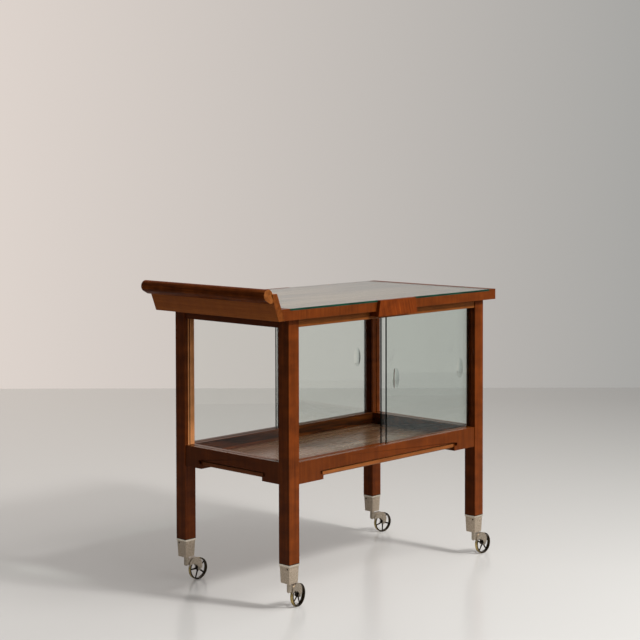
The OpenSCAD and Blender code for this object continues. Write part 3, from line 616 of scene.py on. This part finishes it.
def piece_from(obj, name):
    """What an object's Geometry Nodes make, as a plain mesh object; the object with the modifier is removed."""
    bpy.context.view_layer.update()
    made = bpy.data.meshes.new_from_object(obj.evaluated_get(bpy.context.evaluated_depsgraph_get()))
    made.name = name
    bpy.data.objects.remove(obj)
    piece = bpy.data.objects.new(name, made)
    bpy.context.scene.collection.objects.link(piece)
    return piece


def node_group(name, sizes):
    """An empty Geometry Nodes tree with a mesh in, a mesh out and one named input for each size."""
    group = bpy.data.node_groups.new(name, "GeometryNodeTree")
    group.interface.new_socket("Geometry", in_out="INPUT", socket_type="NodeSocketGeometry")
    group.interface.new_socket("Geometry", in_out="OUTPUT", socket_type="NodeSocketGeometry")
    for label, value in sizes.items():
        kind = "NodeSocketInt" if isinstance(value, int) else "NodeSocketFloat"
        group.interface.new_socket(label, in_out="INPUT", socket_type=kind).default_value = value
    return group, add(group, "NodeGroupInput").outputs


def grown(name, mesh, group, sizes):
    """An object with the mesh and the tree on it, its inputs set by their identifiers."""
    obj = bpy.data.objects.new(name, mesh)
    bpy.context.scene.collection.objects.link(obj)
    mod = obj.modifiers.new("grow", "NODES")
    mod.node_group = group
    for item in group.interface.items_tree:
        if item.item_type == "SOCKET" and item.in_out == "INPUT" and item.name in sizes:
            mod[item.identifier] = sizes[item.name]
    return obj


# Spokes: tapered oval bars in a ring, joined to the turned hub that the object's own mesh gives
SPOKES = {
    "Count": 5, "Hub radius": 5.2 * MM, "Rim radius": 25.25 * MM, "Root width": 5.0 * MM, "Tip width": 3.6 * MM,
    "Thickness": 3.6 * MM,
}
spoke_tree, given = node_group("spoke_ring", SPOKES)
length = add(spoke_tree, "ShaderNodeMath", {0: given["Rim radius"], 1: given["Hub radius"]}, operation="SUBTRACT")
root = add(spoke_tree, "ShaderNodeMath", {0: given["Root width"], 1: 0.5}, operation="MULTIPLY")
tip = add(spoke_tree, "ShaderNodeMath", {0: given["Tip width"], 1: 0.5}, operation="MULTIPLY")
flat = add(spoke_tree, "ShaderNodeMath", {0: given["Thickness"], 1: given["Root width"]}, operation="DIVIDE")
bar = add(
    spoke_tree, "GeometryNodeMeshCone",
    {"Vertices": 12, "Side Segments": 3, "Radius Top": tip, "Radius Bottom": root, "Depth": length},
)
oval = add(spoke_tree, "ShaderNodeCombineXYZ", {0: flat, 1: 1.0, 2: 1.0})
bar = add(spoke_tree, "GeometryNodeTransform", {"Geometry": bar, "Scale": oval})
start = add(spoke_tree, "ShaderNodeCombineXYZ", {0: given["Hub radius"]})
bar = add(
    spoke_tree, "GeometryNodeTransform", {"Geometry": bar, "Rotation": (0, math.pi / 2, 0), "Translation": start}
)
ring = add(spoke_tree, "GeometryNodeMeshCircle", {"Vertices": given["Count"], "Radius": 0.01 * MM})
outward = add(
    spoke_tree, "FunctionNodeAlignRotationToVector", {"Vector": add(spoke_tree, "GeometryNodeInputPosition")}, axis="X"
)
bars = add(spoke_tree, "GeometryNodeInstanceOnPoints", {"Points": ring, "Instance": bar, "Rotation": outward})
both = add(spoke_tree, "GeometryNodeJoinGeometry", {0: add(spoke_tree, "GeometryNodeRealizeInstances", {0: bars})})
spoke_tree.links.new(given["Geometry"], both.inputs[0])
smooth = add(spoke_tree, "GeometryNodeSetShadeSmooth", {"Geometry": both})
skin = add(spoke_tree, "GeometryNodeSetMaterial", {"Geometry": smooth, "Material": spoke_nickel})
add(spoke_tree, "NodeGroupOutput", {0: skin})

HUB_BORE, HUB_R, HUB_EASE, HUB_SIDES = 2.58 * MM, 5.5 * MM, 0.7 * MM, 32
WHEEL_W = 9 * MM


def turned_hub(name):
    """A bored hub with eased ends, as wide as the wheel, turned about Z."""
    b = bmesh.new()
    half = WHEEL_W / 2
    profile = [
        (HUB_BORE, -half), (HUB_R - HUB_EASE, -half), (HUB_R, -half + HUB_EASE), (HUB_R, half - HUB_EASE),
        (HUB_R - HUB_EASE, half), (HUB_BORE, half),
    ]
    rings = [
        [b.verts.new((r * math.cos(t), r * math.sin(t), z)) for r, z in profile]
        for t in (i * 2 * math.pi / HUB_SIDES for i in range(HUB_SIDES))
    ]
    for i in range(HUB_SIDES):
        j = (i + 1) % HUB_SIDES
        for k in range(len(profile)):
            m = (k + 1) % len(profile)
            b.faces.new((rings[i][k], rings[j][k], rings[j][m], rings[i][m]))
    bmesh.ops.recalc_face_normals(b, faces=b.faces[:])
    mesh = bpy.data.meshes.new(name)
    b.to_mesh(mesh)
    b.free()
    return mesh


LIP_HEIGHT = 5.2 * MM  # the bright lip is the ferrule's top 5 mm
WHEEL_TURN = {"front_left": 12, "front_right": -2, "back_left": -3, "back_right": -11}  # about Z, in degrees
SPOKE_STEP = 18  # each wheel stopped at another angle, in degrees
for i, place in enumerate(PLACES):
    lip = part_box("ferrule_" + place)[1].z - LIP_HEIGHT
    dress(
        "ferrule_" + place, "cart", [ferrule_nickel, lip_nickel], bevel_mm=0.35,
        chooser=lambda face, lip=lip: 1 if face.calc_center_bounds().z > lip else 0,
    )
    dress("fork_" + place, "caster_" + place, [fork_nickel], bevel_mm=0.3)
    dress("king_pin_" + place, "caster_" + place, [pin_steel], bevel_mm=0.2)
    dress("axle_" + place, "caster_" + place, [pin_steel], bevel_mm=0.2)
    low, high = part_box("rim_" + place)
    centre = (low + high) / 2
    turn = math.radians(WHEEL_TURN[place])

    def rim_skin(face, centre=centre, axle=Vector((-math.sin(turn), math.cos(turn), 0))):
        n = face.normal
        return 0 if abs(n.dot(axle)) < 0.5 and n.dot(face.calc_center_median() - centre) > 0 else 1

    dress("rim_" + place, "wheel_" + place, [rim_brass, rim_dark], bevel_mm=0.25, chooser=rim_skin)
    tree_on_hub = grown("spokes_" + place + "_tree", turned_hub("spokes_" + place), spoke_tree, SPOKES)
    wheel = piece_from(tree_on_hub, "spokes_" + place + "_finished")
    stand = Matrix.Rotation(turn, 4, "Z") @ Matrix.Rotation(math.pi / 2, 4, "X")
    spin = Matrix.Rotation(math.radians(SPOKE_STEP * i), 4, "Z")
    wheel.data.transform(Matrix.Translation(centre) @ stand @ spin)
    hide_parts("spokes_" + place)
    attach(wheel, "wheel_" + place)

# One domed screw in the side of each ferrule, near its outer corner; its slot is a nearly black bar through the head,
# painted shade for the slot's hollow
SCREWS = {"Head radius": 2.4 * MM, "Head height": 0.9 * MM, "Slot width": 0.6 * MM}
SLOT_TURN, SLOT_OUT = math.radians(35), 0.5 * MM
screw_tree, given = node_group("ferrule_screws", SCREWS)
dome = add(screw_tree, "GeometryNodeMeshUVSphere", {"Segments": 16, "Rings": 8, "Radius": given["Head radius"]})
share = add(screw_tree, "ShaderNodeMath", {0: given["Head height"], 1: given["Head radius"]}, operation="DIVIDE")
low_dome = add(screw_tree, "ShaderNodeCombineXYZ", {0: share, 1: 1.0, 2: 1.0})
dome = add(screw_tree, "GeometryNodeTransform", {"Geometry": dome, "Scale": low_dome})
slot_size = add(
    screw_tree, "ShaderNodeCombineXYZ", {0: given["Head height"], 1: given["Head radius"], 2: given["Slot width"]}
)
slot = add(
    screw_tree, "GeometryNodeTransform",
    {"Geometry": add(screw_tree, "GeometryNodeMeshCube", {"Size": slot_size}),
     "Rotation": (SLOT_TURN, 0, 0), "Translation": (-SLOT_OUT, 0, 0)},
)
dome = add(screw_tree, "GeometryNodeSetMaterial", {"Geometry": dome, "Material": screw_steel})
slot = add(screw_tree, "GeometryNodeSetMaterial", {"Geometry": slot, "Material": slot_painted_shade})
head = add(screw_tree, "GeometryNodeJoinGeometry", {0: dome})
screw_tree.links.new(slot.outputs[0], head.inputs[0])
points = add(screw_tree, "GeometryNodeMeshToPoints", {"Mesh": given["Geometry"]})
screws = add(screw_tree, "GeometryNodeInstanceOnPoints", {"Points": points, "Instance": head})
screws = add(screw_tree, "GeometryNodeRealizeInstances", {0: screws})
screws = add(screw_tree, "GeometryNodeSetShadeSmooth", {"Geometry": screws})
add(screw_tree, "NodeGroupOutput", {0: screws})

SCREW_LEFT, SCREW_OUT, SCREW_DOWN = 16.2 * MM, 9.3 * MM, 10.5 * MM  # from the middle of the ferrule's top
places = []
for place in PLACES:
    low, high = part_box("ferrule_" + place)
    middle = (low + high) / 2
    outward = SCREW_OUT if "back" in place else -SCREW_OUT
    places.append((middle.x - SCREW_LEFT, middle.y + outward, high.z - SCREW_DOWN))
mesh = bpy.data.meshes.new("screw_places")
mesh.from_pydata(places, [], [])
screws = piece_from(grown("ferrule_screws_tree", mesh, screw_tree, SCREWS), "ferrule_screws")
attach(screws, "cart")


# ---------------------------------------------------------------- floor and backdrop

# Smooth pale paint. Its tone is painted light: lighter near the camera and at the left, for how the lamps' light falls
# across it. What glass and polish mirror of it at the sides is darker, as a dim studio beyond a sheet of paper is, and
# the light that it bounces onto the cart is that of a darker grey.
PAPER_HALF, PAPER_FADE = 1.5, 2.2  # metres to either side of the view
TONE_HALF, TONE_DEEP = 1.5, 3.0  # metres over which the painted light changes, to either side and away from the camera
FLOOR_HALF = 3.365
floor_mat, tree = material("studio_floor_painted_light")
turned = add(
    tree, "ShaderNodeMapping",
    {"Vector": add(tree, "ShaderNodeTexCoord").outputs["Object"], "Rotation": (0, 0, -VIEW_AZIMUTH)},
)
across, deep, _ = add(tree, "ShaderNodeSeparateXYZ", {0: turned}).outputs
across_share = add(tree, "ShaderNodeMapRange", {"Value": across, "From Min": -TONE_HALF, "From Max": TONE_HALF})
deep_share = add(tree, "ShaderNodeMapRange", {"Value": deep, "From Min": 0.0, "From Max": TONE_DEEP})
far_painted_light = add(
    tree, "ShaderNodeMix", {0: across_share, 6: linear("#e0dbd5"), 7: linear("#b3b1ae")}, data_type="RGBA"
).outputs[2]
floor_tone_and_painted_light = add(
    tree, "ShaderNodeMix", {0: deep_share, 6: linear("#dcdbd9"), 7: far_painted_light}, data_type="RGBA"
).outputs[2]
aside = add(tree, "ShaderNodeMath", {0: across}, operation="ABSOLUTE")
on_paper = add(
    tree, "ShaderNodeMapRange",
    {"Value": aside, "From Min": PAPER_HALF, "From Max": PAPER_FADE, "To Min": 1.0, "To Max": 0.0},
)
path = add(tree, "ShaderNodeLightPath").outputs
through = add(tree, "ShaderNodeMath", {0: path["Is Glossy Ray"], 1: path["Is Transmission Ray"]}, operation="MAXIMUM")
bounced = add(tree, "ShaderNodeMath", {0: path["Glossy Depth"], 1: 1.0}, operation="MINIMUM")
mirrored = add(tree, "ShaderNodeMath", {0: through, 1: bounced}, operation="MULTIPLY")
unbounced = add(tree, "ShaderNodeMath", {0: through, 1: mirrored}, operation="SUBTRACT")
straight = add(tree, "ShaderNodeMath", {0: path["Is Camera Ray"], 1: unbounced}, operation="MAXIMUM")
mirrored_paper = add(tree, "ShaderNodeMath", {0: mirrored, 1: on_paper}, operation="MULTIPLY")
seen = add(tree, "ShaderNodeMath", {0: straight, 1: mirrored_paper}, operation="MAXIMUM")
mirror_tone = add(
    tree, "ShaderNodeMix", {0: path["Is Transmission Ray"], 6: linear("#464441"), 7: linear("#8f8d8a")},
    data_type="RGBA",
).outputs[2]
unseen = add(tree, "ShaderNodeMix", {0: mirrored, 6: linear("#8a8886"), 7: mirror_tone}, data_type="RGBA").outputs[2]
shown = add(tree, "ShaderNodeMix", {0: seen, 6: unseen, 7: floor_tone_and_painted_light}, data_type="RGBA").outputs[2]
paint = add(tree, "ShaderNodeBsdfPrincipled", {"Base Color": shown, "Roughness": 0.2, "Specular IOR Level": 0.3})
add(tree, "ShaderNodeOutputMaterial", {0: paint})

mesh = bpy.data.meshes.new("floor")
turn = Matrix.Rotation(VIEW_AZIMUTH, 4, "Z")
corners = [turn @ Vector((x * FLOOR_HALF, y * FLOOR_HALF, 0)) for x, y in ((-1, -1), (1, -1), (1, 1), (-1, 1))]
mesh.from_pydata([tuple(c) for c in corners], [], [(0, 1, 2, 3)])
floor = bpy.data.objects.new("floor", mesh)
bpy.context.scene.collection.objects.link(floor)
mesh.materials.append(floor_mat)

# The backdrop as seen is painted paler at the left: painted light, for the wall being lit more on that side. The
# unseen studio is dark behind the camera's left, paler overhead, towards the lamps and on the wall to the view's left,
# and dim below the horizon.
ROOM_DARK, ROOM_LIGHT, LEFT_WALL, BELOW_HORIZON = 0.1, 0.38, 0.16, 0.5
LAMP_SIDE = Vector((0.3, -0.65, 0.7)).normalized()
world = bpy.data.worlds.new("studio")
bpy.context.scene.world = world
world.use_nodes = True
tree = world.node_tree
tree.nodes.clear()
direction = add(tree, "ShaderNodeTexCoord").outputs["Generated"]
turned = add(tree, "ShaderNodeMapping", {"Vector": direction, "Rotation": (0, 0, -VIEW_AZIMUTH)})
rightward, onward, upward = add(tree, "ShaderNodeSeparateXYZ", {0: turned}).outputs
across_share = add(tree, "ShaderNodeMapRange", {"Value": rightward, "From Min": -0.2, "From Max": 0.2})
backdrop_painted_light = add(
    tree, "ShaderNodeMix", {0: across_share, 6: linear("#ddd3cc"), 7: linear("#a8a7a4")}, data_type="RGBA"
).outputs[2]
toward = add(tree, "ShaderNodeVectorMath", {0: direction, 1: LAMP_SIDE}, operation="DOT_PRODUCT").outputs["Value"]
overhead = add(
    tree, "ShaderNodeMapRange",
    {"Value": toward, "From Min": -0.2, "From Max": 1.0, "To Min": ROOM_DARK, "To Max": ROOM_LIGHT},
)
left_wall = add(
    tree, "ShaderNodeMapRange",
    {"Value": rightward, "From Min": -0.4, "From Max": -0.9, "To Min": 0.0, "To Max": LEFT_WALL},
)
horizon = add(
    tree, "ShaderNodeMapRange",
    {"Value": upward, "From Min": 0.0, "From Max": 0.03, "To Min": BELOW_HORIZON, "To Max": 1.0},
)
level = add(tree, "ShaderNodeMath", {0: overhead, 1: left_wall}, operation="ADD")
level = add(tree, "ShaderNodeMath", {0: level, 1: horizon}, operation="MULTIPLY")
room = add(tree, "ShaderNodeCombineColor", {0: level, 1: level, 2: level})
behind = add(tree, "ShaderNodeMapRange", {"Value": onward, "From Min": 0.45, "From Max": 0.95})
lit_room = add(tree, "ShaderNodeMix", {0: behind, 6: room, 7: backdrop_painted_light}, data_type="RGBA").outputs[2]
path = add(tree, "ShaderNodeLightPath").outputs
seen = add(tree, "ShaderNodeMath", {0: path["Is Camera Ray"], 1: path["Is Transmission Ray"]}, operation="MAXIMUM")
colour = add(tree, "ShaderNodeMix", {0: seen, 6: lit_room, 7: backdrop_painted_light}, data_type="RGBA").outputs[2]
sky = add(tree, "ShaderNodeBackground", {"Color": colour, "Strength": 1.0})
add(tree, "ShaderNodeOutputWorld", {0: sky})


# ---------------------------------------------------------------- lamps

LAMP_COLOUR = (1.0, 0.985, 0.96)
AIM = Vector((0, 0, 0.3))

# Two round softboxes high at the front give the shadows their edges: place, width and power
for name, place, width, power in (
    ("key_softbox", (0.64, -2.79, 2.70), 0.5, 82),
    ("upper_softbox", (0.76, -2.25, 4.14), 1.0, 31),
):
    lamp = bpy.data.lights.new(name, "AREA")
    lamp.shape = "DISK"
    lamp.size = width
    lamp.energy = power
    lamp.color = LAMP_COLOUR
    holder = bpy.data.objects.new(name, lamp)
    holder.location = place
    holder.rotation_euler = (Vector(place) - AIM).to_track_quat("Z", "Y").to_euler()
    holder.visible_camera = False
    bpy.context.scene.collection.objects.link(holder)

# A broad low light in front and a weak one from the right fill: bearing, height and breadth in degrees, and strength
for name, bearing, height, breadth, strength in (
    ("front_fill", -68, 25, 60, 1.3),
    ("side_fill", -10, 25, 50, 0.7),
):
    lamp = bpy.data.lights.new(name, "SUN")
    lamp.energy = strength
    lamp.angle = math.radians(breadth)
    lamp.color = LAMP_COLOUR
    holder = bpy.data.objects.new(name, lamp)
    # Glass and polish would mirror so broad a lamp as a white disc
    holder.visible_glossy = False
    holder.visible_transmission = False
    bpy.context.scene.collection.objects.link(holder)
    a, e = math.radians(bearing), math.radians(height)
    toward_lamp = Vector((math.cos(a) * math.cos(e), math.sin(a) * math.cos(e), math.sin(e)))
    holder.rotation_euler = toward_lamp.to_track_quat("Z", "Y").to_euler()

bpy.context.scene.view_settings.view_transform = "Standard"
